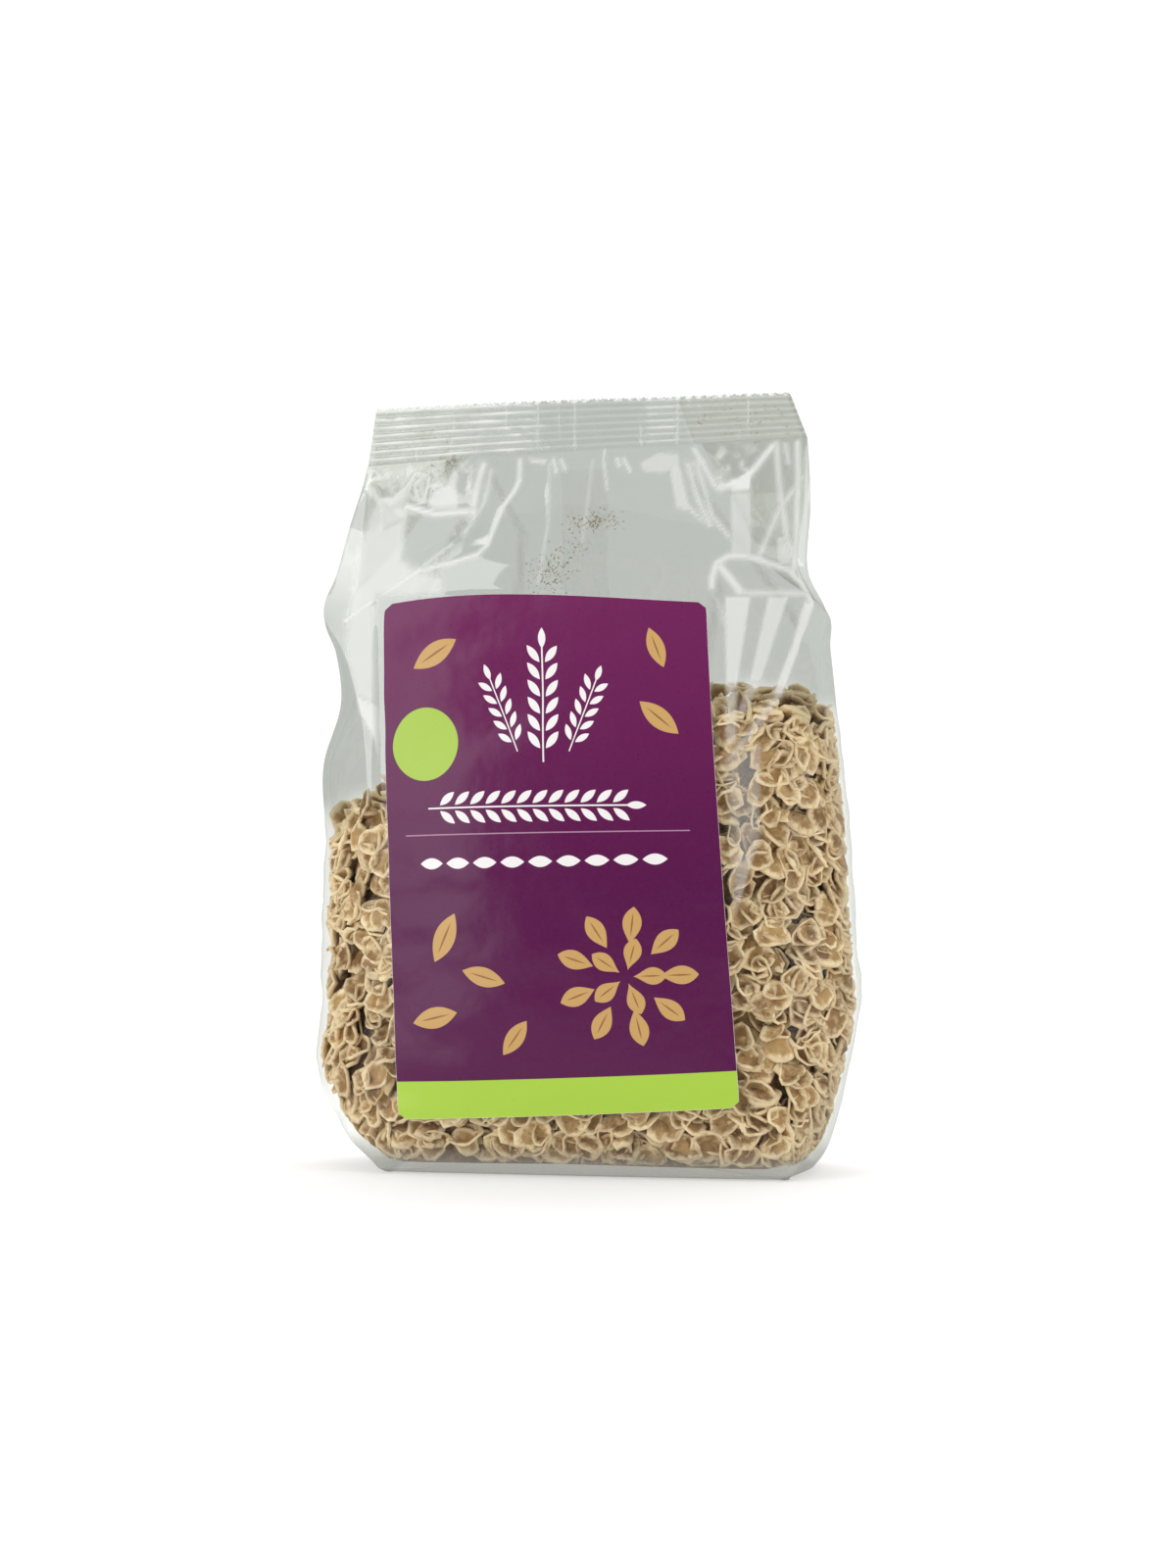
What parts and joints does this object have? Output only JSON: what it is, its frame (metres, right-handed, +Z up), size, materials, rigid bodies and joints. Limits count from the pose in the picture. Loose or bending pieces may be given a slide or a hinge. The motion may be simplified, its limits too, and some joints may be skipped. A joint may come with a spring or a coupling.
{
  "type": "clear bag of oat flakes",
  "caption": "Clear film bag filled with rolled oat flakes, sealed flat along its ribbed top, gusseted at the sides and standing on a squared base, with a paper label on its front.",
  "frame": {"origin": "middle of the box's bottom face, on the surface that the bag stands on", "axes": "+Z up, the labelled front faces -Y, +X to the right seen from the front"},
  "size_m": [0.1602, 0.0806, 0.224],
  "materials": {
    "film": "clear, thin, glossy and creased",
    "oats": "dry, matt cereal flakes with pale rims",
    "label": "printed paper with a soft gloss"
  },
  "bodies": {
    "root": {"film_bag": "film", "front_label": "label"}
  },
  "joints": []
}
